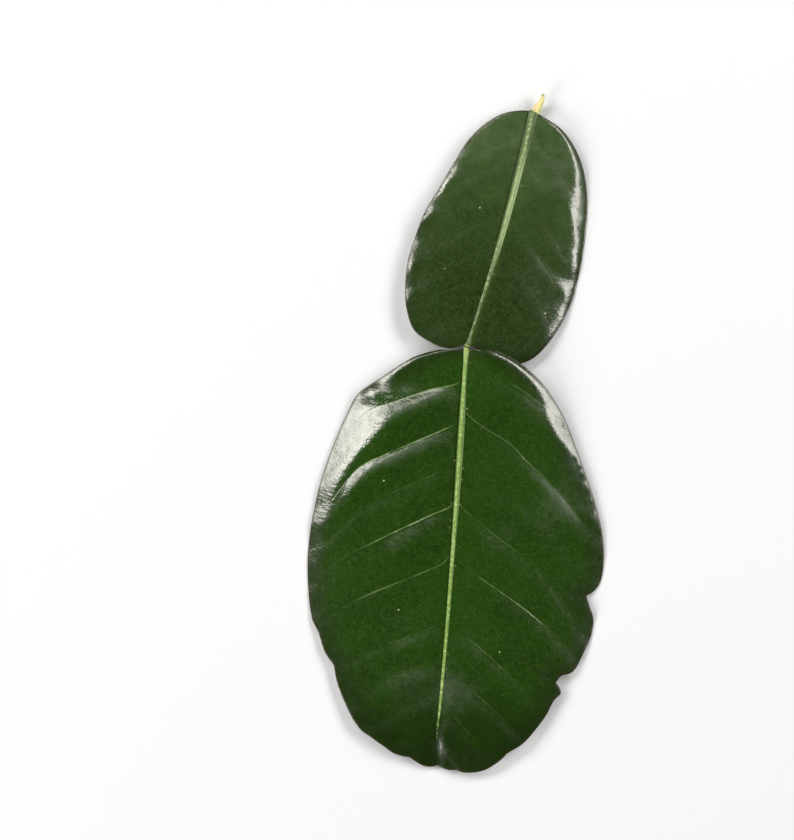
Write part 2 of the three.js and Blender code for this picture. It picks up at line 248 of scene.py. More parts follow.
def curve_through(points, steps=24):
    """Points along a smooth open curve that passes evenly through given ones."""
    p = np.array(points, float)
    p = np.vstack([2 * p[0] - p[1], p, 2 * p[-1] - p[-2]])
    gap = np.linalg.norm(np.diff(p, axis=0), axis=1)[:, None] ** 0.5
    t = np.linspace(0, 1, steps, endpoint=False)[:, None]
    spans = []
    for i in range(1, len(p) - 2):
        leave = (p[i] - p[i - 1]) / gap[i - 1] - (p[i + 1] - p[i - 1]) / (gap[i - 1] + gap[i])
        leave = (leave + (p[i + 1] - p[i]) / gap[i]) * gap[i]
        reach = (p[i + 1] - p[i]) / gap[i] - (p[i + 2] - p[i]) / (gap[i] + gap[i + 1])
        reach = (reach + (p[i + 2] - p[i + 1]) / gap[i + 1]) * gap[i]
        across = p[i + 1] - p[i]
        spans.append(
            p[i] + leave * t + (3 * across - 2 * leave - reach) * t**2 + (leave + reach - 2 * across) * t**3
        )
    return np.vstack([*spans, p[-2:-1]])


def margin_rows(scallops, rows):
    """How far along a margin each row meets it, and where. The row nearest to a notch moves onto it."""
    curves = [curve_through(points) for points in scallops]
    path = np.vstack([curves[0], *[curve[1:] for curve in curves[1:]]])
    walked = np.append(0, np.cumsum(np.linalg.norm(np.diff(path, axis=0), axis=1)))
    share = walked / walked[-1]
    ends = share[np.cumsum([len(curves[0])] + [len(curve) - 1 for curve in curves[1:]]) - 1]
    row_share = np.interp(np.arange(rows + 1), [0, *np.round(ends * rows)], [0, *ends])
    return row_share, np.stack([np.interp(row_share, share, path[:, k]) for k in (0, 1)], 1)


def blurred(values, reach):
    """Values along the rows, smoothed over about `reach` rows, with both ends kept."""
    weights = np.exp(-0.5 * (np.arange(-3 * reach, 3 * reach + 1) / reach) ** 2)
    even = np.convolve(np.pad(values, 3 * reach, mode="edge"), weights / weights.sum(), mode="valid")
    row = np.arange(len(values))
    keep = np.clip(np.minimum(row, len(values) - 1 - row) / (2 * reach), 0, 1)
    return values + (even - values) * keep


FLAT = [[0, 0], [1, 0]]  # for what a side of a shape leaves out


def lamina_rows(shape, margins, count, centre_at):
    """Rows of lamina from one end of a midrib to the other, without the two ends themselves."""
    station = (np.arange(1, count) / count) ** shape["slant"]
    rows = {
        "centre": centre_at(station),
        "floor": smooth(*shape["middle"])(station),
        "rib": smooth(*shape["rib"])(station),
        "keel": smooth(*shape["keel"])(station),
        "keel_spread": 1.3,
        "ridge": smooth(*shape["ridge"])(station),
        "bow": 1,
        "valley": np.clip(np.minimum(station, 1 - station) / 0.03, 0, 1),
        "thickness": LAMINA_THICKNESS,
        "edge": MARGIN_THICKNESS,
        "rim": RIM_RADIUS,
    }
    for side, sign in enumerate((-1, 1)):
        share, line = margin_rows(margins[side], count)
        run = np.gradient(line, axis=0)
        run /= np.linalg.norm(run, axis=1)[:, None]
        rows["edge_at", side] = line[1:-1]
        rows["out", side] = np.stack([-run[:, 1], run[:, 0]], 1)[1:-1] * sign
        for key in ("height", "crest", "fold", "steep", "curl"):
            rows[key, side] = smooth(*shape["sides"][side].get(key, FLAT))(share[1:-1])
    return rows


def stalk_rows(centre, right, half, floor, top, bottom):
    """Rows of bare midrib. `right` leads from the middle of each row to its right edge."""
    centre, right = np.array(centre, float), np.array(right, float)
    right = np.broadcast_to(right / np.linalg.norm(right, axis=-1, keepdims=True), centre.shape)
    rows = {"centre": centre, "floor": floor, "rib": half, "keel": bottom, "keel_spread": 1, "ridge": top}
    rows |= {"bow": 0.5, "valley": 0, "thickness": 0.02, "edge": 0.02, "rim": 0.05}
    for side, sign in enumerate((-1, 1)):
        rows["edge_at", side] = centre + sign * right * np.array(half)[:, None]
        rows["out", side] = sign * right
        rows |= {("height", side): floor, ("crest", side): 0, ("fold", side): 0.5}
        rows |= {("steep", side): 0, ("curl", side): 0}
    return rows


NOTCH_REACH = 16  # rows on each side that a notch's smoothing takes in
NOTCH_FREE_ROWS = 90  # next to the joint or the foot


def widest_near(width):
    """A smooth line over the rows' widths, clear of their notches."""
    row = np.arange(len(width))
    span = np.clip(np.minimum((row - NOTCH_FREE_ROWS) // 4, len(width) - 1 - row), 0, NOTCH_REACH)
    most = [width[i - n : i + n + 1].max() for i, n in zip(row, span)]
    return np.maximum(blurred(np.array(most), NOTCH_REACH // 2), width)


def joined(*blocks):
    """Blocks of rows, end to end. A single number stands for every row of its block."""
    whole = {}
    for key in blocks[0]:
        values = [np.asarray(block[key], float) for block in blocks]
        counts = [len(block["centre"]) for block in blocks]
        whole[key] = np.concatenate([v if v.ndim else np.full(n, float(v)) for v, n in zip(values, counts)])
    return whole


def vein_field(away, along, veins):
    """Where points lie between the side veins: how many veins have been passed on the way from the foot, the
    share of the way to the next one, the gap between the two, how plainly the nearer one shows, and the swell
    here."""
    shows, starts, stops = np.array([[0, 0, 0], *[vein[:3] for vein in veins], [0, 0, 0]]).T
    swells = np.stack([0.3 + 0 * away, *[smooth(*vein[3])(away) for vein in veins], 0 * away])
    lines = [smooth(*vein[4])(away) for vein in veins]
    lines = np.stack([lines[0] + 9, *lines, lines[-1] - 12])  # and one more beyond each end, off the leaf
    passed = np.clip((along < lines).sum(0) - 1, 0, len(lines) - 2)
    here = np.arange(len(away))
    gap = lines[passed, here] - lines[passed + 1, here]
    share = np.clip((lines[passed, here] - along) / gap, 0, 1)
    near = np.where(share < 0.5, passed, passed + 1)
    stretch = np.clip((away - starts[near]) / 2 + 1, 0.15, 1) * np.clip((stops[near] - away) / 4 + 1, 0.15, 1)
    return passed, share, gap, shows[near] * stretch, swells[passed, here]


# Shares of the midrib's half width, and then of the rest of the way to the margin, where the mesh has its
# columns.
RIB_UPPER = np.array([0, 0.13, 0.24, 0.33, 0.42, 0.55, 0.7, 0.85, 1, 1.15, 1.35, 1.7])
RIB_UNDER = np.array([0, 0.35, 0.65, 0.95, 1.25, 1.7])
LAMINA_UPPER = np.linspace(0, 1, 70)[1:]
LAMINA_UNDER = np.linspace(0, 1, 34)[1:]
RIM_TURNS = np.radians([40, 90, 140])

# What the skins are told of each point: its place across and along the leaf in millimetres, its distance from
# the midrib's middle in half widths of it, and from the margin, its place between the side veins, how far
# apart they are and how plainly they show, and how much the leaf swells, creases or is dusty there.
KNOWN = ("across", "along", "rib", "margin", "vein", "gap", "show", "swell", "crease", "dust")

CRINKLES = [(3.4, 0.034, 11), (1.3, 0.011, 27)]  # [size, height, seed] of the lamina's fine unevenness
VALLEY_WIDTH = 1.3  # the lamina dips beside the midrib
CURL_WIDTH = 0.6  # how far in from the margin it curls down
VEIN_WIDTH = 0.5  # the gap that a side vein leaves in the swells of the underside
VEIN_RISE = 0.15


def patches(x, y, marks):
    """The sum of some soft round patches, each [x, y, size, how much]."""
    return sum(much * np.exp(-((x - a) ** 2 + (y - b) ** 2) / size**2) for a, b, size, much in marks)


def leaf_half(rows, side, face, shape, veins):
    """One half of one face of a leaf: points from the midrib to the margin, with what its skin needs."""
    rib_shares, lamina_shares = (RIB_UPPER, LAMINA_UPPER) if face == "upper" else (RIB_UNDER, LAMINA_UNDER)
    row = {key: values[:, None] for key, values in rows.items() if values.ndim == 1}
    inner = rows["edge_at", side] - rows["out", side] * row["rim"]
    width = np.linalg.norm(inner - rows["centre"], axis=1)
    heading = (inner - rows["centre"]) / width[:, None]
    near = np.minimum(rows["rib"], 0.55 * width)[:, None] * rib_shares
    away = np.hstack([near, near[:, -1:] + (width[:, None] - near[:, -1:]) * lamina_shares])
    x = rows["centre"][:, :1] + heading[:, :1] * away
    y = rows["centre"][:, 1:] + heading[:, 1:] * away
    own_x, own_y = shape["upright"](x, y)

    # The big shape: a smooth way down from the midrib to the margin. Notches don't fold it.
    broad = np.maximum(widest_near(width)[:, None] - row["rib"], 0.05)
    reach = np.clip((away - row["rib"]) / broad, 0, 1)
    fold, drop = row["fold", side], row["floor"] - row["height", side]
    folded = (row["steep", side] * broad - 1.5 * drop) / (1 / (1 - fold) - 1.5)
    folded = np.clip(folded, 0, 0.95 * np.maximum(drop, 0))
    softness = 0.06 + 0.08 * np.clip((0.8 - fold) / 0.12, 0, 1)
    bend = [(at - fold + np.hypot(at - fold, softness)) / 2 for at in (reach, 0, 1)]
    level = row["floor"] - (drop - folded) * reach**1.5 - folded * (bend[0] - bend[1]) / (bend[2] - bend[1])
    level += row["crest", side] * np.sin(np.pi * reach)
    level -= row["curl", side] * np.exp((away - width[:, None]) / CURL_WIDTH)

    # The small shape: the lamina bulges between its sunken side veins, and is finely uneven.
    passed, share, gap, show, swell = (
        v.reshape(x.shape) for v in vein_field(np.abs(own_x).ravel(), own_y.ravel(), veins[side])
    )
    near_margin = np.clip((reach - 0.6) / 0.36, 0, 1) ** 2
    before_fold = 1 - 0.8 * np.clip((reach - fold) / 0.3 + 0.5, 0, 1)
    hold = np.clip(reach / 0.12, 0, 1) * (1 - near_margin) * before_fold
    bulge = np.sin(np.pi * share**0.65) ** 2 * swell
    ridge = np.exp(-((np.minimum(share, 1 - share) * gap / VEIN_WIDTH) ** 2)) * swell * hold
    places = list(zip(own_x.ravel(), own_y.ravel()))
    fine = sum(
        height * np.array([noise.noise((a / size, b / size, seed)) for a, b in places])
        for size, height, seed in CRINKLES
    ).reshape(x.shape)
    level += shape["bulge"] * bulge * hold + fine * np.clip((away - row["rib"]) / 1.5, 0, 1)
    level += shape["relief"](own_x, own_y, reach)

    ratio = away / row["rib"]
    beside = np.maximum(away - row["rib"], 0)
    level -= shape["valley"] * np.exp(-((beside / VALLEY_WIDTH) ** 2)) * row["valley"]
    if face == "upper":
        level += row["thickness"] + (row["edge"] - row["thickness"]) * reach**3
        level += row["ridge"] * np.clip(1 - ratio**2, 0, 1) ** row["bow"]
        middle_groove = np.exp(-(((ratio - shape["groove_at"]) / 0.16) ** 2))
        level -= side * shape["groove"] * middle_groove * row["valley"]
    else:
        keel = row["keel"] * np.sqrt(np.clip(1 - (ratio / row["keel_spread"]) ** 2, 0, 1))
        level -= VEIN_RISE * ridge + keel
    square = np.abs((heading * rows["out", side]).sum(1))[:, None]
    return {
        "x": x,
        "y": y,
        "z": level,
        "across": own_x,
        "along": own_y,
        "rib": (2 * side - 1) * ratio,
        "margin": (width[:, None] - away) * square + row["rim"],
        "vein": passed + share,
        "gap": gap,
        "show": show * (1 - 0.8 * near_margin),
        "swell": swell * hold,
        "crease": np.clip((1 - fold) / 0.35, 0, 1) * np.exp(-(((reach - fold + 0.03) / 0.1) ** 2)),
        "dust": patches(own_x, own_y, shape["dusty"]),
    }


def leaf_ring(rows, shape, veins):
    """What there is at each point of a closed leaf, row by row, and which columns of its mesh lie underneath.
    Each row goes over the upper face, round a rim, back underneath and round the other rim."""
    halves = []
    for side in (0, 1):
        upper, under = (leaf_half(rows, side, face, shape, veins) for face in ("upper", "under"))
        under["z"] = np.maximum(under["z"], 0)
        upper["z"] = np.maximum(upper["z"], 0.16)
        top = upper["z"][:, -1:]
        bottom = under["z"][:, -1:] = np.minimum(under["z"][:, -1:], top - 0.04)
        rim = {key: np.repeat(upper[key][:, -1:], len(RIM_TURNS), axis=1) for key in upper}
        swell = (np.sin(RIM_TURNS) - 1) * rows["rim"][:, None]
        for k, axis in enumerate("xy"):
            rim[axis] = rows["edge_at", side][:, k, None] + rows["out", side][:, k, None] * swell
        rim["z"] = (top + bottom) / 2 + (top - bottom) / 2 * np.cos(RIM_TURNS)
        rim["margin"] = -swell
        halves.append((upper, rim, under))
    (left_upper, left_rim, left_under), (right_upper, right_rim, right_under) = halves
    ring = {
        key: np.hstack(
            [
                left_upper[key][:, :0:-1],
                right_upper[key],
                right_rim[key],
                right_under[key][:, ::-1],
                left_under[key][:, 1:],
                left_rim[key][:, ::-1],
            ]
        )
        for key in left_upper
    }
    column = np.arange(ring["x"].shape[1])
    under_to = len(column) - len(RIM_TURNS) - 1
    under_from = under_to + 2 - right_under["x"].shape[1] - left_under["x"].shape[1]
    return ring, (column >= under_from) & (column < under_to)


def flat_map(ring):
    """A flat map of the skin, for its textures: across each row one way, from row to row the other way."""
    count, around = ring["x"].shape
    widest = np.ptp(ring["x"], axis=1).argmax()
    steps = np.hypot(*[np.diff(ring[axis][widest], append=ring[axis][widest][0]) for axis in "xz"])
    u = np.append(0, np.cumsum(steps)) / steps.sum()
    v = np.linspace(0.01, 0.99, count)
    column, row = np.tile(np.arange(around), count - 1), np.repeat(np.arange(count - 1), around)
    corners = [u[column + i] * 0.98 + 0.01 for i in (0, 0, 1, 1)], [v[row + i] for i in (0, 1, 1, 0)]
    flat = np.stack([np.stack(part, 1).ravel() for part in corners], 1)
    return np.vstack([flat, *[np.stack([u[:-1], np.full(around, v_end)], 1) for v_end in (0.005, 0.995)]])


def leaf_piece(name, rows, shape, veins, skins):
    """A closed leaf in its place by the joint, with its upper and its under skin."""
    ring, is_under = leaf_ring(rows, shape, veins)
    count, around = ring["x"].shape
    places = np.stack([ring[axis].ravel() for axis in "xyz"], 1) * MM + np.array([joint.x, joint.y, 0])
    here = np.arange(count - 1)[:, None] * around + np.arange(around)
    after = np.roll(here, -1, axis=1)
    quads = np.stack([here, here + around, after + around, after], -1).reshape(-1, 4)
    ends = [list(range(around)), list(range(count * around - 1, (count - 1) * around - 1, -1))]
    mesh = bpy.data.meshes.new(name)
    mesh.from_pydata(places.tolist(), [], [*quads.tolist(), *ends])
    for key in KNOWN:
        values = mesh.attributes.new(key, "FLOAT", "POINT")
        values.data.foreach_set("value", ring[key].ravel().astype(np.float32))
    skin_number = np.append(np.tile(is_under, count - 1), [False, False]).astype(np.int32)
    mesh.polygons.foreach_set("material_index", skin_number)
    mesh.polygons.foreach_set("use_smooth", np.ones(len(skin_number), bool))
    mesh.uv_layers.new(name="OFBake").data.foreach_set("uv", flat_map(ring).ravel().astype(np.float32))
    for skin in skins:
        mesh.materials.append(skin)
    mesh.update()
    piece = bpy.data.objects.new(name, mesh)
    scene.collection.objects.link(piece)
    return piece


def times(first, *others):
    """The product of some values."""
    for other in others:
        first = maths("MULTIPLY", first, other)
    return first


def apart(first, second):
    """How far two values are apart."""
    return maths("ABSOLUTE", maths("SUBTRACT", first, second))


def ramp(value, start, end, low=0.0, high=1.0):
    """A smooth change from low to high as the value goes from start to end."""
    levels = {0: value, 1: start, 2: end, 3: low, 4: high}
    return add("ShaderNodeMapRange", levels, interpolation_type="SMOOTHSTEP").outputs[0]


def between(value, start, full, fades, end):
    """1 where the value is between full and fades, and down smoothly to 0 at start and at end."""
    return times(ramp(value, start, full), ramp(value, end, fades))


def blend(share, first, second):
    """A colour that goes from the first to the second as the share goes from 0 to 1."""
    return add("ShaderNodeMix", {0: share, 6: first, 7: second}, data_type="RGBA").outputs[2]


def layered(colour, *coats):
    """A colour with others laid over it, one after the other, each as how much of it shows and its colour."""
    for share, coat in coats:
        colour = blend(share, colour, coat)
    return colour


def clouds(point, size, detail=2.0, roughness=0.5):
    """Soft noise from 0 to 1, with lumps of about that size."""
    settings = {"Vector": point, "Scale": 1 / size, "Detail": detail, "Roughness": roughness}
    return add("ShaderNodeTexNoise", settings).outputs[0]


def streaks_of(across, along, width, length, detail):
    """Soft noise from 0 to 1, drawn out into streaks of about that width and length."""
    places = {0: maths("DIVIDE", across, width), 1: maths("DIVIDE", along, length)}
    return clouds(add("ShaderNodeCombineXYZ", places).outputs[0], 1, detail=detail)


def cells(point, spacing, **settings):
    """Cells round scattered points that far apart, measured in shares of that."""
    return add("ShaderNodeTexVoronoi", {"Vector": point, "Scale": 1 / spacing}, **settings).outputs


def spots(point, spacing, fades, chances, most=1):
    """Scattered round spots that far apart: where the rim of each fades, and how chance lets them show."""
    cell = cells(point, spacing)
    chance = add("ShaderNodeSeparateColor", {0: cell["Color"]}).outputs[0]
    return times(ramp(cell["Distance"], *fades), ramp(chance, *chances, 0, most))


def paint(red, green, blue):
    """A colour written as it looks on a screen, 0 to 255."""
    colour = [c / 3294.6 if c <= 10 else ((c / 255 + 0.055) / 1.055) ** 2.4 for c in (red, green, blue)]
    return (*colour, 1)


def effect(name, inputs, outputs):
    """An empty node group, what it is given, and the node that takes its results."""
    group = bpy.data.node_groups.new(name, "ShaderNodeTree")
    for in_out, sockets in (("INPUT", inputs), ("OUTPUT", outputs)):
        for socket in sockets:
            kind = "NodeSocketVector" if socket == "point" else "NodeSocketFloat"
            group.interface.new_socket(socket, in_out=in_out, socket_type=kind)
    return group, group.nodes.new("NodeGroupInput").outputs, group.nodes.new("NodeGroupOutput")


def use(group, known):
    """Put an effect in a material, with each of its inputs joined to what is known by the same name."""
    node = add("ShaderNodeGroup", {}, known["point"].id_data, node_tree=group)
    set_inputs(node, {key: known[key] for key in node.inputs.keys() if key in known})
    return node.outputs


# The oil glands: small pale dots all over, some plainer ones, and now and then a whitish speck.
GLAND_SPACING = 0.5
PLAIN_GLAND_SPACING = 1.15
SPECK_SPACING = 4.5
# The whitish glands beside the midrib, which carry painted glints, lie this far apart.
BEAD_SPACING = 0.75  # beside the midrib
glands, given, results = effect("oil_glands", ["point"], ["dots", "specks"])
dots = spots(given["point"], GLAND_SPACING, (0.4, 0.12), (0.2, 1), 0.55)
plain = spots(given["point"], PLAIN_GLAND_SPACING, (0.15, 0.06), (0.4, 1))
specks = spots(given["point"], SPECK_SPACING, (0.04, 0.02), (0.55, 0.75))
set_inputs(results, {"dots": maths("MAXIMUM", dots, plain), "specks": specks})

# The side veins, as thin pale lines that come and go, and the faint net of small veins between them.
NET_SPACING = 2.1
vein_marks, given, results = effect("vein_marks", ["point", "vein", "gap", "show"], ["line", "net"])
distance = times(maths("PINGPONG", given["vein"], 0.5), given["gap"])
wander = maths("MULTIPLY_ADD", clouds(given["point"], 1.1), 0.12, -0.06)
distance = maths("ADD", distance, wander)
come_and_go = ramp(clouds(given["point"], 3.5), 0.3, 0.62, 0.35, 1)
line = times(ramp(distance, 0.19, 0.04), given["show"], come_and_go)
net = cells(given["point"], NET_SPACING, feature="DISTANCE_TO_EDGE")["Distance"]
set_inputs(results, {"line": line, "net": ramp(net, 0.07, 0.01)})

# The wax: fine wrinkles that run out to the margins, deepest where the leaf folds down, small dimples over
# the glands, and sunken vein lines, all as heights in millimetres. Its bloom is a streaky dull band beyond
# each side vein.
WRINKLE_HEIGHT = 0.022
WRINKLE_WIDTH, WRINKLE_LENGTH = 0.45, 1.7
LUMP_SIZE, LUMP_HEIGHT = 0.7, 0.016
DIMPLE_DEPTH = 0.008
VEIN_DEPTH = 0.025
WAX_NEEDS = ["point", "across", "along", "vein", "line", "swell", "crease"]
wax, given, results = effect("wax_relief", WAX_NEEDS, ["height", "bloom"])
out = maths("ABSOLUTE", given["across"])
crosswise = maths("MULTIPLY_ADD", out, -0.4, given["along"])
lengthwise = maths("MULTIPLY_ADD", given["along"], 0.4, out)
streaks = streaks_of(crosswise, lengthwise, WRINKLE_WIDTH, WRINKLE_LENGTH, 2)
bloom = times(
    between(maths("FRACT", given["vein"]), 0.02, 0.1, 0.15, 0.5),
    ramp(streaks, 0.3, 0.62, 0.3, 1),
    ramp(clouds(given["point"], 5), 0.3, 0.6, 0.4, 1),
    given["swell"],
)
lumps = times(clouds(given["point"], LUMP_SIZE, detail=3), LUMP_HEIGHT)
height = maths("MULTIPLY_ADD", streaks, WRINKLE_HEIGHT, lumps)
deeper = maths("MULTIPLY_ADD", given["crease"], 3.5, maths("MULTIPLY_ADD", bloom, 0.35, 1))
off_gland = ramp(cells(given["point"], GLAND_SPACING)["Distance"], 0.1, 0.4)
height = maths("ADD", times(height, deeper), times(off_gland, DIMPLE_DEPTH))
height = maths("MULTIPLY_ADD", given["line"], -VEIN_DEPTH, height)
set_inputs(results, {"height": height, "bloom": bloom})


def skin_parts(name):
    """A new material, its nodes, and what they know of a place: its point in mm, and what the mesh holds."""
    skin = bpy.data.materials.new(name)
    skin.use_nodes = True
    tree = skin.node_tree
    known = {key: add("ShaderNodeAttribute", {}, tree, attribute_name=key).outputs["Fac"] for key in KNOWN}
    spot = add("ShaderNodeTexCoord", {}, tree).outputs["Object"]
    known["point"] = add("ShaderNodeVectorMath", {0: spot, "Scale": 1 / MM}, operation="SCALE").outputs[0]
    known["signed_rib"], known["rib"] = known["rib"], maths("ABSOLUTE", known["rib"])
    return skin, tree, known


def bumps(height):
    """The direction that a skin faces, with its fine relief."""
    return add("ShaderNodeBump", {"Height": height, "Distance": MM, "Strength": 1}).outputs[0]


def lamina_colour(known, look, gland, vein):
    """The leaf's own green, with paler glands and veins and a darker margin line, a band of painted shade
    along the margin, and painted light towards one end: painted shade at the blade's tip, a paler painted
    sheen towards the wing's foot.
    """
    point, margin = known["point"], known["margin"]
    broad = ramp(clouds(point, 9, detail=3), 0.35, 0.65)
    fine = ramp(clouds(point, 0.9, detail=3, roughness=0.65), 0.3, 0.7)
    patchy = ramp(clouds(point, 5, detail=4, roughness=0.6), 0.3, 0.62, 0.45, 1)
    return layered(
        blend(broad, look["deep"], look["green"]),
        (times(fine, 0.7), look["fresh"]),
        (ramp(clouds(point, 0.26, detail=1), 0.35, 0.75, 0, look["grain"]), look["vein"]),
        (times(vein["net"], look["net"]), look["vein"]),
        (times(gland["dots"], look["dots"]), look["vein"]),
        (times(vein["line"], 0.85), look["vein"]),
        # A band of painted shade along the margin, where it rolls down away from the light.
        (ramp(margin, look["margin_shade_reach"], 0.3, 0, 0.75), look["margin_shade"]),
        # Painted light towards one end: painted shade at the blade's tip, a paler painted sheen towards the
        # wing's foot.
        (times(patchy, 0.9, ramp(known["along"], *look["sheen_and_shade_along"])), look["painted_sheen_and_shade"]),
        (ramp(margin, 0.55, 0.25, 0, 0.8), look["margin"]),
    )


def midrib_colour(known, look):
    """A round pale core, partly painted highlight, a little left of the midrib's middle towards the light,
    with painted glints, duller flanks, for a stretch a narrow second ridge on its right, and the ring at the
    joint."""
    point, across, along = known["point"], known["across"], known["along"]
    wander = maths("MULTIPLY_ADD", clouds(point, 1.5), 0.16, look["core_at"] - 0.08)
    off_core = times(apart(across, wander), ramp(along, *look["core_widens"], 1, 0.65))
    # Painted glints on the pale core.
    lit = ramp(clouds(point, 0.55, detail=2), 0.45, 0.68)
    pale = layered(
        blend(ramp(along, *look["rib_pales"]), look["rib_far"], look["rib_pale"]),
        (ramp(along, *look["rib_fades"]), look["rib_faint"]),
        (times(lit, look["glints"]), look["glint"]),
        (ramp(along, *look["rib_greens"]), look["rib_near"]),
    )
    on_strip = ramp(apart(across, look["strip_at"]), 0.2, 0.06)
    past_joint = maths("MULTIPLY_ADD", across, look["joint_slant"], along)
    return layered(
        look["rib_edge"],
        (ramp(off_core, *look["core_fades"]), pale),
        (times(on_strip, between(along, *look["strip_along"])), look["strip"]),
        (between(past_joint, 0.1, 0.2, 0.34, 0.46), look["ring"]),
        (between(past_joint, -0.12, -0.04, 0.1, 0.16), look["shut"]),
    )


def upper_skin(name, look):
    """The glossy face of a leaf."""
    skin, tree, known = skin_parts(name)
    point, rib, side, margin = known["point"], known["rib"], known["signed_rib"], known["margin"]
    gland, vein = use(glands, known), use(vein_marks, known)
    known["line"] = vein["line"]

    # Painted shadow lines, painted light just right of it, and whitish glands with painted glints go along
    # the midrib.
    runs_out = ramp(known["along"], look["rib_end"] - 2.5, look["rib_end"] + 2.5)
    rib_shadow = times(ramp(rib, 1.8, 1.15), ramp(side, 0.5, -0.5, *look["rib_shadow_sides"]), runs_out)
    # Painted light: just right of the midrib the lamina is lightened towards its flanks' colour.
    beside = times(ramp(known["across"], 1.3, 0.5), ramp(side, 0.9, 1.1, 0, look["beside"]))
    # Whitish glands beside the midrib, with painted glints.
    gland_glints = spots(point, BEAD_SPACING, (0.3, 0.12), (0.55, 0.75))
    colour = layered(
        lamina_colour(known, look, gland, vein),
        (rib_shadow, look["rib_shadow"]),
        (beside, look["rib_edge"]),
        (times(gland_glints, between(rib, 1, 1.2, 1.7, 2.2), look["gland_glints"], runs_out), look["speck_and_glint"]),
        (times(ramp(rib, 1.08, 0.88), runs_out), midrib_colour(known, look)),
        (gland["specks"], look["speck_and_glint"]),
    )

    # The wax is duller in the bloom, in dusty patches, on the midrib and near the margin.
    relief = use(wax, known)
    rough = ramp(clouds(point, 1.6, detail=3), 0.3, 0.7, look["rough"] - 0.04, look["rough"] + 0.04)
    rough = maths("MULTIPLY_ADD", relief["bloom"], look["bloom"], rough)
    patchy = ramp(clouds(point, 1.4, detail=4, roughness=0.7), 0.3, 0.65, 0.3, 1)
    rough = maths("MULTIPLY_ADD", times(known["dust"], patchy), 0.34, rough)
    rough = maths("ADD", rough, ramp(rib, 1.4, 0.8, 0, 0.2))
    rough = maths("ADD", rough, ramp(margin, 6, 1, 0, look["worn"]))
    coat = times(
        ramp(clouds(point, 2.4, detail=3), 0.3, 0.6, look["coat"] * 0.8, look["coat"]),
        ramp(relief["bloom"], 0, 1.2, 1, look["bloom_coat"]),
        ramp(margin, 0.2, 0.5, 0.25, 1),
        ramp(rib, 1.2, 2.6, look["rib_coat"], 1),
    )
    facing = bumps(relief["height"])
    finish = {"Base Color": colour, "Roughness": rough, "IOR": 1.5, "Normal": facing, "Coat Weight": coat}
    finish |= {"Coat IOR": 1.6, "Coat Roughness": 0.15, "Coat Normal": facing}
    set_inputs(tree.nodes["Principled BSDF"], finish)
    return skin


def under_skin(name, look):
    """The dull pale underside of a leaf, with its midrib and side veins paler still."""
    skin, tree, known = skin_parts(name)
    gland, vein = use(glands, known), use(vein_marks, known)
    fine = ramp(clouds(known["point"], 2, detail=4), 0.3, 0.7)
    colour = layered(
        blend(fine, look["deep"], look["green"]),
        (times(gland["dots"], 0.5), look["deep"]),
        (times(vein["net"], 0.3), look["vein"]),
        (times(vein["line"], 0.9), look["vein"]),
        (ramp(known["rib"], 1.35, 1.05), look["rib"]),
        (ramp(known["margin"], 0.7, 0.2, 0, 0.6), look["margin"]),
    )
    rough = ramp(clouds(known["point"], 1.2), 0.3, 0.7, 0.52, 0.66)
    relief = use(wax, {key: known[key] for key in ("point", "across", "along", "vein")})
    finish = {"Base Color": colour, "Roughness": rough, "Normal": bumps(relief["height"])}
    set_inputs(tree.nodes["Principled BSDF"], finish)
    return skin


# The blade's colours, painted light and shade among them, and its finish. A pair says where a change starts
# and
# ends: in "core_fades" it goes out from the midrib's core, and in the others along the leaf. The pair for the
# painted shadow lines beside the midrib is for the right and the left.
BLADE_LOOK = {
    # The lamina: its greens, its pale veins and glands, its darker margin line, a band of painted shade along
    # the margin, and painted shade towards the tip.
    "deep": paint(20, 46, 1), "green": paint(25, 56, 2), "fresh": paint(34, 67, 7),
    "vein": paint(118, 140, 90), "grain": 0.05, "net": 0.015, "dots": 0.22, "margin_shade": paint(24, 42, 6),
    "margin_shade_reach": 5, "margin": paint(38, 42, 14), "painted_sheen_and_shade": paint(20, 37, 4), "sheen_and_shade_along": (-54, -72),
    # The painted shadow lines beside the midrib, its flanks, painted light right of it, and whitish glands
    # beside it with painted glints.
    "rib_shadow": paint(20, 36, 2), "rib_shadow_sides": (0.35, 0.9), "rib_edge": paint(62, 88, 30), "beside": 0,
    "speck_and_glint": paint(196, 202, 160), "gland_glints": 0.35,
    # Its pale core, partly painted highlight set towards the light, with painted glints, which widens at the
    # joint, from there to its faint end.
    "core_at": -0.08, "core_widens": (-3, -1), "core_fades": (0.42, 0.16), "rib_near": paint(148, 170, 92),
    "rib_greens": (-2.2, -1), "rib_pale": paint(124, 154, 80), "rib_far": paint(114, 144, 70),
    "rib_pales": (-50, -20), "rib_faint": paint(64, 88, 38), "rib_fades": (-63, -67), "rib_end": -67.5,
    "glint": paint(168, 194, 128), "glints": 0.8,
    # The second ridge on its right, and the seam and the ring at the joint.
    "strip": paint(104, 132, 74), "strip_at": 0.44, "strip_along": (-34, -27, -11, -6), "joint_slant": 0.32,
    "ring": paint(128, 148, 84), "shut": paint(18, 26, 4),
    # The wax.
    "rough": 0.2, "worn": 0.06, "bloom": 0.3, "bloom_coat": 0.6, "coat": 0.9, "rib_coat": 0.12,
}
UNDER_LOOK = {
    "deep": paint(96, 122, 66),
    "green": paint(110, 136, 80),
    "vein": paint(150, 170, 112),
    "rib": paint(158, 176, 112),
    "margin": paint(96, 108, 60),
}

# The tooth below the first notch on the right is curled up, there are two low lumps by the left shoulder,
# and the margin has a few short ripples below the right shoulder: [across, along, size, height]
BLADE_DENTS = [
    (25.4, -44.2, 1.7, 0.5), (-16, -8.7, 2, 0.45), (-12.6, -7.2, 1.6, 0.2), (20.8, -17.9, 0.55, 0.09),
    (21.6, -19.3, 0.55, 0.1), (22.2, -20.8, 0.6, 0.1), (23.4, -23.6, 0.6, 0.08),
]
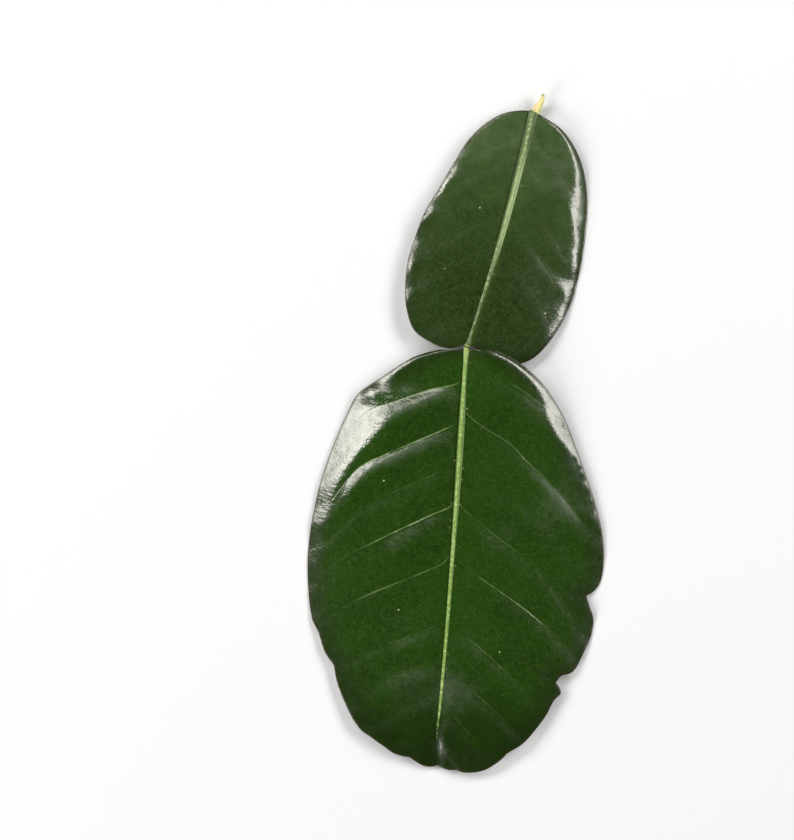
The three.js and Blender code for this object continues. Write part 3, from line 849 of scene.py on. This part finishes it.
# Where the wax is dull: [across, along, size, how much]
BLADE_DUST = [
    (2.5, -60, 4, 1.3), (-5.5, -61, 4.5, 0.9), (-7, -50, 4, 0.4), (9, -31.5, 2, 0.6), (5, -50.5, 3, 0.5),
    (25.2, -44.6, 1.6, 1.3), (17, -27, 3.2, 1.3), (0.7, -70.3, 1.1, 1),
]
MARGIN_WAVE = 3.5
# The midrib's course, from the tip to the joint: [along, across]
BLADE_BOW = smooth([-73.7, 0.4], [-68, -0.15], [-62, 0], [-48, 0.2], [-28, 0.22], [-10, 0.06], [0, 0])


def margin_waves(along, reach, seed):
    """A margin isn't quite even: it waves up and down a little, and the waves die out inwards."""
    waves = [noise.noise((y / MARGIN_WAVE, seed, 0)) for y in along[:, -1]]
    return np.array(waves)[:, None] * np.clip((reach - 0.7) / 0.3, 0, 1) ** 2


def blade_relief(x, y, reach):
    waves = 0.16 * margin_waves(y, reach, np.sign(x[0, -1])) * np.clip(-y / 8, 0, 1)
    return patches(x, y, BLADE_DENTS) + waves


def blade_centre(station):
    neck = BLADE_LEFT[0][0][1]
    y = neck + (BLADE_TIP[1] - neck) * station
    return np.stack([BLADE_BOW(y), y], 1)


# Heights over the table, down the midrib and round each margin, and how each side gets from one to the
# other: it bulges by its crest, falls gently as far as its fold, and then slopes down evenly, that steeply,
# to the margin.
BLADE_LEFT_SIDE = {
    "height": [[0, JOINT_HEIGHT], [0.05, 3], [0.1, 2.5], [0.15, 1.75], [0.2, 0.9], [0.26, 0.3], [0.36, 0],
               [0.56, -0.05], [0.7, 0.3], [0.85, 0.8], [0.95, 0.5], [1, 0.3]],
    "crest": [[0, 0], [0.05, 0.1], [0.12, 0.05], [0.17, 0.1], [0.23, 0.5], [0.3, 0.6], [0.45, 0.4],
              [0.7, 0.4], [0.9, 0.2], [1, 0]],
    "fold": [[0, 0.94], [0.08, 0.94], [0.13, 0.92], [0.18, 0.89], [0.21, 0.79], [0.24, 0.69], [0.275, 0.64],
             [0.31, 0.68], [0.36, 0.8], [0.44, 0.88], [0.54, 0.94], [1, 0.94]],
    "steep": [[0, 0.4], [0.06, 0.44], [0.12, 0.42], [0.16, 0.34], [0.2, 0.35], [0.24, 0.41], [0.3, 0.41],
              [0.42, 0.46], [0.52, 0.5], [0.6, 0.36], [1, 0.3]],
}
BLADE_RIGHT_SIDE = {
    "height": [[0, JOINT_HEIGHT], [0.02, 3.3], [0.06, 3.1], [0.12, 2.3], [0.2, 1.2], [0.3, 0.45],
               [0.4, 0.05], [0.6, 0], [0.72, 0.8], [0.86, 1.4], [0.95, 0.8], [1, 0.3]],
    "crest": [[0, 0], [0.06, 0.5], [0.12, 0.5], [0.25, 0.1], [0.5, 0], [0.8, 0.2], [1, 0]],
    "fold": [[0, 0.9], [0.1, 0.9], [0.16, 0.9], [0.21, 0.84], [0.25, 0.86], [0.29, 0.94], [0.4, 0.95],
             [1, 0.95]],
    "steep": [[0, 0.33], [0.05, 0.34], [0.1, 0.37], [0.18, 0.42], [0.26, 0.46], [0.3, 0.4], [0.36, 0.34],
              [0.42, 0.34], [0.5, 0.26], [1, 0.24]],
}
BLADE_SHAPE = {
    "middle": [[0, JOINT_HEIGHT], [0.15, 3.5], [0.4, 3.8], [0.7, 3], [0.9, 1.4], [1, 0.3]],
    "rib": [[0, 0.5], [0.03, 0.43], [0.09, 0.43], [0.16, 0.55], [0.22, 0.62], [0.35, 0.55], [0.6, 0.42],
            [0.8, 0.34], [0.93, 0.2], [1, 0.06]],
    "keel": [[0, 0.75], [0.1, 0.8], [0.5, 0.6], [0.85, 0.3], [1, 0.1]],
    "ridge": [[0, 0.16], [0.03, 0.09], [0.2, 0.07], [0.6, 0.05], [0.9, 0.02], [1, 0]],
    "slant": 1.5,  # rows leave the midrib slantwise, as the side veins do
    "sides": (BLADE_LEFT_SIDE, BLADE_RIGHT_SIDE),
    "bulge": 0.3,
    "valley": 0.1,
    "groove": 0,
    "groove_at": 0,
    "upright": lambda x, y: (x - BLADE_BOW(y), y),
    "relief": blade_relief,
    "dusty": BLADE_DUST,
}

JOINT_SLANT = math.radians(-18)  # the seam at the joint runs down to the right
knuckle_y = np.array([0, -0.03, -0.09, -0.17, -0.26, -0.36])
slant = JOINT_SLANT * (1 + knuckle_y / 0.4)
blade_knuckle = stalk_rows(
    np.stack([0 * knuckle_y, knuckle_y], 1),
    np.stack([np.cos(slant), np.sin(slant)], 1),
    np.array([0.44, 0.53, 0.58, 0.585, 0.565, 0.55]),
    JOINT_HEIGHT,
    np.array([0.42, 0.5, 0.54, 0.54, 0.52, 0.5]),
    np.array([0.6, 0.68, 0.72, 0.74, 0.75, 0.75]),
)
blade_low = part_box("leaf_blade")[0]
outline = np.vstack([margin_rows(scallops, BLADE_ROWS)[1] for scallops in (BLADE_LEFT, BLADE_RIGHT)])
joint = Vector((blade_low.x - outline[:, 0].min() * MM, blade_low.y - outline[:, 1].min() * MM))
blade = leaf_piece(
    "glossy_blade",
    joined(blade_knuckle, lamina_rows(BLADE_SHAPE, (BLADE_LEFT, BLADE_RIGHT), BLADE_ROWS, blade_centre)),
    BLADE_SHAPE,
    (BLADE_VEINS_LEFT, BLADE_VEINS_RIGHT),
    (upper_skin("blade_upper", BLADE_LOOK), under_skin("blade_under", UNDER_LOOK)),
)
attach(blade, "root")
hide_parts("leaf_blade")


# ------------------------------------------------------------------------------------------- Winged stalk
# The stalk half of the double leaf: a midrib with a broad wing on each side, duller than the blade. It leans
# to the left of the blade's line, ends at the joint in a knuckle, and at its foot keeps a pale finger torn
# off the twig.
WING_LEAN = math.radians(-11.7)
WING_START = 43
WING_BOW = 0.55
WING_ROWS = 210
WING_LEFT = [
    [[-0.78, 43], [-2.4, 42.6], [-5, 41.3], [-7.5, 38.8], [-9.7, 35], [-11, 30.5], [-12.3, 25.5], [-13.5, 21],
     [-14, 16], [-14, 11.4], [-13.2, 7], [-11.9, 3.5], [-9.6, 0.3], [-6.8, -0.8], [-4.2, -1.15], [-2.3, -0.8],
     [-0.5, 0.45]],
]
WING_RIGHT = [
    [[0.78, 43], [2.4, 42.5], [5.4, 41.5], [8.7, 39], [11.4, 35.4], [13.4, 30.7], [14.8, 24.5], [15.5, 18.5],
     [15.7, 14], [15.2, 9.8], [14, 5.6], [12.1, 1.8], [10.3, 0.1], [8.2, -0.9], [5.8, -1.1], [3.6, -0.5],
     [1.9, 0.2], [0.5, 0.45]],
]
# The torn foot, from its tip: [along, left edge, right edge, height of its middle, its rise, its depth]
TORN_FOOT = [
    [46.45, 0.68, 0.87, 1.86, 0.06, 0.1],
    [46.4, 0.59, 0.98, 1.86, 0.14, 0.2],
    [46.2, 0.53, 1.1, 1.84, 0.22, 0.28],
    [45.8, 0.48, 1.19, 1.8, 0.29, 0.36],
    [45.3, 0.43, 1.24, 1.74, 0.33, 0.42],
    [44.95, 0.36, 1.24, 1.67, 0.35, 0.46],
    [44.75, 0.24, 1.23, 1.62, 0.37, 0.5],
    [44.55, 0.02, 1.22, 1.56, 0.39, 0.58],
    [44.35, -0.15, 1.21, 1.5, 0.4, 0.66],
    [44.05, -0.27, 1.18, 1.42, 0.42, 0.76],
    [43.7, -0.35, 1.13, 1.34, 0.44, 0.86],
    [43.35, -0.44, 1.05, 1.27, 0.46, 0.96],
    [43.1, -0.64, 0.92, 1.22, 0.48, 1.03],
]
FINGER_LEFT = [(43, 0.22), (44, 0.3), (44.9, 0.36), (46.5, -1)]  # where the pale finger starts, going up it


def wing_bow(y):
    """The wing's midrib bows a little to the right."""
    return WING_BOW * np.sin(np.pi * np.clip(y, 0, WING_START) / WING_START)


def lean(points):
    """From the wing's own lay-out to the blade's, about the joint."""
    cos, sin = math.cos(WING_LEAN), math.sin(WING_LEAN)
    return np.asarray(points, float) @ np.array([[cos, sin], [-sin, cos]])


def upright(x, y):
    """From the blade's lay-out to the wing's own, with x counted from the midrib."""
    cos, sin = math.cos(WING_LEAN), math.sin(WING_LEAN)
    own_x, own_y = x * cos + y * sin, y * cos - x * sin
    return own_x - wing_bow(own_y), own_y


def wing_relief(x, y, reach):
    """Left of its pale finger the torn foot is a lower slope, and torn fibres run along it."""
    torn = np.clip((y - 43.05) / 0.4, 0, 1)
    left_of_finger = 1 / (1 + np.exp((x - np.interp(y, *zip(*FINGER_LEFT))) / 0.05))
    fibres = 0.03 * np.sin(x * 31 + 2 * np.sin(y * 3.1)) + 0.02 * np.sin(x * 57 + y * 2.3)
    side = np.sign(x[0, -1])
    height = 0.35 if side < 0 else 0.2
    waves = height * margin_waves(y, reach, 5 + side) * np.clip((40 - y) / 8, 0, 1)
    return torn * (fibres - 0.25 * left_of_finger) + waves


def wing_centre(station):
    y = WING_START + (WING_LEFT[0][-1][1] - WING_START) * station
    return lean(np.stack([wing_bow(y), y], 1))


WING_LEFT_SIDE = {
    "height": [[0, 1.2], [0.1, 1.3], [0.25, 1.5], [0.45, 1.6], [0.7, 1.7], [0.85, 2], [0.93, 2.4],
               [0.97, 2.8], [1, 3.2]],
    "crest": [[0, 0], [0.2, 0.2], [0.5, 0.2], [0.9, 0.1], [1, 0]],
    "fold": [[0, 0.95], [0.2, 0.94], [1, 0.93]],
    "steep": [[0, 0.1], [0.2, 0.15], [0.3, 0.25], [0.35, 0.46], [0.39, 0.46], [0.43, 0.3], [0.48, 0.45],
              [0.52, 0.3], [0.58, 0.3], [0.615, 0.46], [0.66, 0.3], [0.7, 0.35], [0.73, 0.48], [0.77, 0.3],
              [0.88, 0.1], [1, 0.1]],
}
WING_RIGHT_SIDE = {
    "height": [[0, 1.2], [0.1, 1.2], [0.2, 0.8], [0.32, 0.2], [0.42, 0], [0.6, 0.3], [0.73, 1.2],
               [0.84, 1.35], [0.92, 1.4], [0.96, 1.9], [0.98, 2.4], [1, 3.2]],
    "crest": [[0, 0], [0.2, 0.2], [0.75, 0.2], [0.9, 0.1], [1, 0]],
    "fold": [[0, 0.92], [0.12, 0.9], [0.28, 0.84], [0.35, 0.76], [0.41, 0.84], [0.48, 0.9], [1, 0.93]],
    "steep": [[0, 0.2], [0.1, 0.42], [0.28, 0.46], [0.36, 0.48], [0.44, 0.5], [0.52, 0.48], [0.56, 0.3],
              [0.6, 0.42], [0.65, 0.25], [0.8, 0.2], [1, 0.1]],
    "curl": [[0, 0], [0.1, 0.15], [0.5, 0.2], [0.9, 0.2], [1, 0]],
}
WING_SHAPE = {
    "middle": [[0, 1.2], [0.25, 2.2], [0.6, 2.9], [0.85, 3.2], [1, 3.2]],
    "rib": [[0, 0.76], [0.1, 0.72], [0.3, 0.7], [0.5, 0.62], [0.7, 0.44], [0.93, 0.3], [1, 0.5]],
    "keel": [[0, 1.05], [0.3, 0.95], [0.9, 0.65], [1, 0.75]],
    "ridge": [[0, 0.3], [0.05, 0.16], [0.4, 0.1], [0.7, 0.08], [0.93, 0.08], [1, 0.16]],
    "slant": 1.25,
    "sides": (WING_LEFT_SIDE, WING_RIGHT_SIDE),
    "bulge": 0.015,
    "valley": 0.08,
    "groove": 0.1,
    "groove_at": 0.2,
    "upright": upright,
    "relief": wing_relief,
    "dusty": [(7.4, 15, 4, 0.4), (-2, 36, 6, 0.7), (6, 34, 5, 0.7)],
}

WING_VEIN_STARTS = ((0.05, 40), (0.1, 35.5), (0.05, 30.5), (0.12, 25), (0.08, 19.5), (0.1, 14), (0.05, 8.5))
WING_VEINS = [
    (show, 2, 9, [[0, 1], [16, 1]],
     [[0, start], [0.8, start - 1.2], [6, start - 5.2], [11, start - 9.8], [16, start - 15.5]])
    for show, start in WING_VEIN_STARTS
]
# The wing's colours include a paler painted sheen towards its foot, painted shadow left of the midrib and
# painted light right of it.
WING_LOOK = BLADE_LOOK | {
    "deep": paint(22, 39, 6), "green": paint(28, 47, 11), "fresh": paint(38, 60, 20), "grain": 0.08,
    "net": 0.01, "margin_shade": paint(30, 50, 14), "margin_shade_reach": 3, "painted_sheen_and_shade": paint(59, 82, 42), "sheen_and_shade_along": (9, 37),
    "rib_shadow": paint(28, 44, 10), "rib_shadow_sides": (0, 0.8), "rib_edge": paint(62, 86, 34), "beside": 0.35,
    "gland_glints": 0.2,
    "core_at": -0.06, "core_widens": (3, 1), "core_fades": (0.42, 0.06), "rib_near": paint(78, 100, 42),
    "rib_greens": (2.5, 1.2), "rib_pale": paint(142, 164, 110), "rib_far": paint(80, 106, 48),
    "rib_pales": (12, 26), "rib_faint": paint(104, 130, 76), "rib_fades": (30, 38), "rib_end": -9,
    "glint": paint(182, 198, 152), "glints": 0.6,
    "strip": paint(148, 170, 120), "strip_along": (12, 20, 32, 38), "joint_slant": 0.11,
    "bloom": 0.08, "coat": 0.85,
}
wing_skins = upper_skin("wing_upper", WING_LOOK), under_skin("wing_under", UNDER_LOOK)

# The torn foot's own colours: a pale yellow finger, greener at its edges and its tip, and a buff torn slope.
TORN_YELLOW, TORN_EDGE, TORN_TIP = paint(232, 224, 158), paint(196, 192, 118), paint(150, 156, 92)
TORN_BUFF, TORN_BROWN = paint(234, 216, 176), paint(196, 168, 122)
FIBRE_WIDTH, FIBRE_LENGTH = 1 / 9, 1 / 1.2
for skin in wing_skins:
    tree = skin.node_tree
    known = {node.attribute_name: node.outputs["Fac"] for node in tree.nodes if node.type == "ATTRIBUTE"}
    across, along = known["across"], known["along"]
    streaks = ramp(streaks_of(across, along, FIBRE_WIDTH, FIBRE_LENGTH, 3), 0.3, 0.7)
    side_edge = ramp(maths("ABSOLUTE", known["rib"]), 0.45, 0.95)
    finger = layered(
        TORN_YELLOW,
        (times(side_edge, 0.8), TORN_EDGE),
        (times(streaks, 0.3), TORN_EDGE),
        (ramp(along, 45.7, 46.4), TORN_TIP),
    )
    slope = blend(streaks, TORN_BUFF, TORN_BROWN)
    seam_at = maths("MULTIPLY_ADD", along, 0.075, -2.99)
    fibre = blend(ramp(maths("SUBTRACT", across, seam_at), -0.08, 0.06), slope, finger)
    ragged = maths("MULTIPLY_ADD", across, 0.35, maths("MULTIPLY_ADD", streaks, 0.25, along))
    torn = times(ramp(ragged, 43.15, 43.35), ramp(along, 42.7, 42.9))
    shader = tree.nodes["Principled BSDF"]
    green = shader.inputs["Base Color"].links[0].from_socket
    set_inputs(shader, {"Base Color": blend(torn, green, fibre)})
    for key, torn_value in (("Roughness", 0.6), ("Coat Weight", 0.0)):
        socket = shader.inputs[key]
        if socket.is_linked:
            mixed = {0: torn, 2: socket.links[0].from_socket, 3: torn_value}
            set_inputs(shader, {key: add("ShaderNodeMix", mixed, data_type="FLOAT").outputs[0]})

foot = np.array(TORN_FOOT)
middle, half = (foot[:, 1] + foot[:, 2]) / 2, (foot[:, 2] - foot[:, 1]) / 2
torn_foot = stalk_rows(
    lean(np.stack([middle, foot[:, 0]], 1)), lean([1, 0]), half, foot[:, 3], foot[:, 4], foot[:, 5]
)
knuckle_share = np.array([0.1, 0.3, 0.5, 0.68, 0.83, 0.94, 1])
slant = WING_LEAN + (JOINT_SLANT - WING_LEAN) * knuckle_share
neck = lean([0, WING_LEFT[0][-1][1]])
wing_knuckle = stalk_rows(
    neck + (np.array([0, 0.04]) - neck) * knuckle_share[:, None],
    np.stack([np.cos(slant), np.sin(slant)], 1),
    np.array([0.5, 0.53, 0.57, 0.6, 0.6, 0.56, 0.48]),
    JOINT_HEIGHT,
    np.array([0.42, 0.46, 0.5, 0.54, 0.54, 0.5, 0.42]),
    np.array([0.75, 0.75, 0.75, 0.74, 0.72, 0.68, 0.6]),
)
leant = [[lean(points).tolist() for points in scallops] for scallops in (WING_LEFT, WING_RIGHT)]
wing = leaf_piece(
    "winged_stalk_and_foot",
    joined(torn_foot, lamina_rows(WING_SHAPE, leant, WING_ROWS, wing_centre), wing_knuckle),
    WING_SHAPE,
    (WING_VEINS, WING_VEINS),
    wing_skins,
)
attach(wing, "root")
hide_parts("winged_stalk")
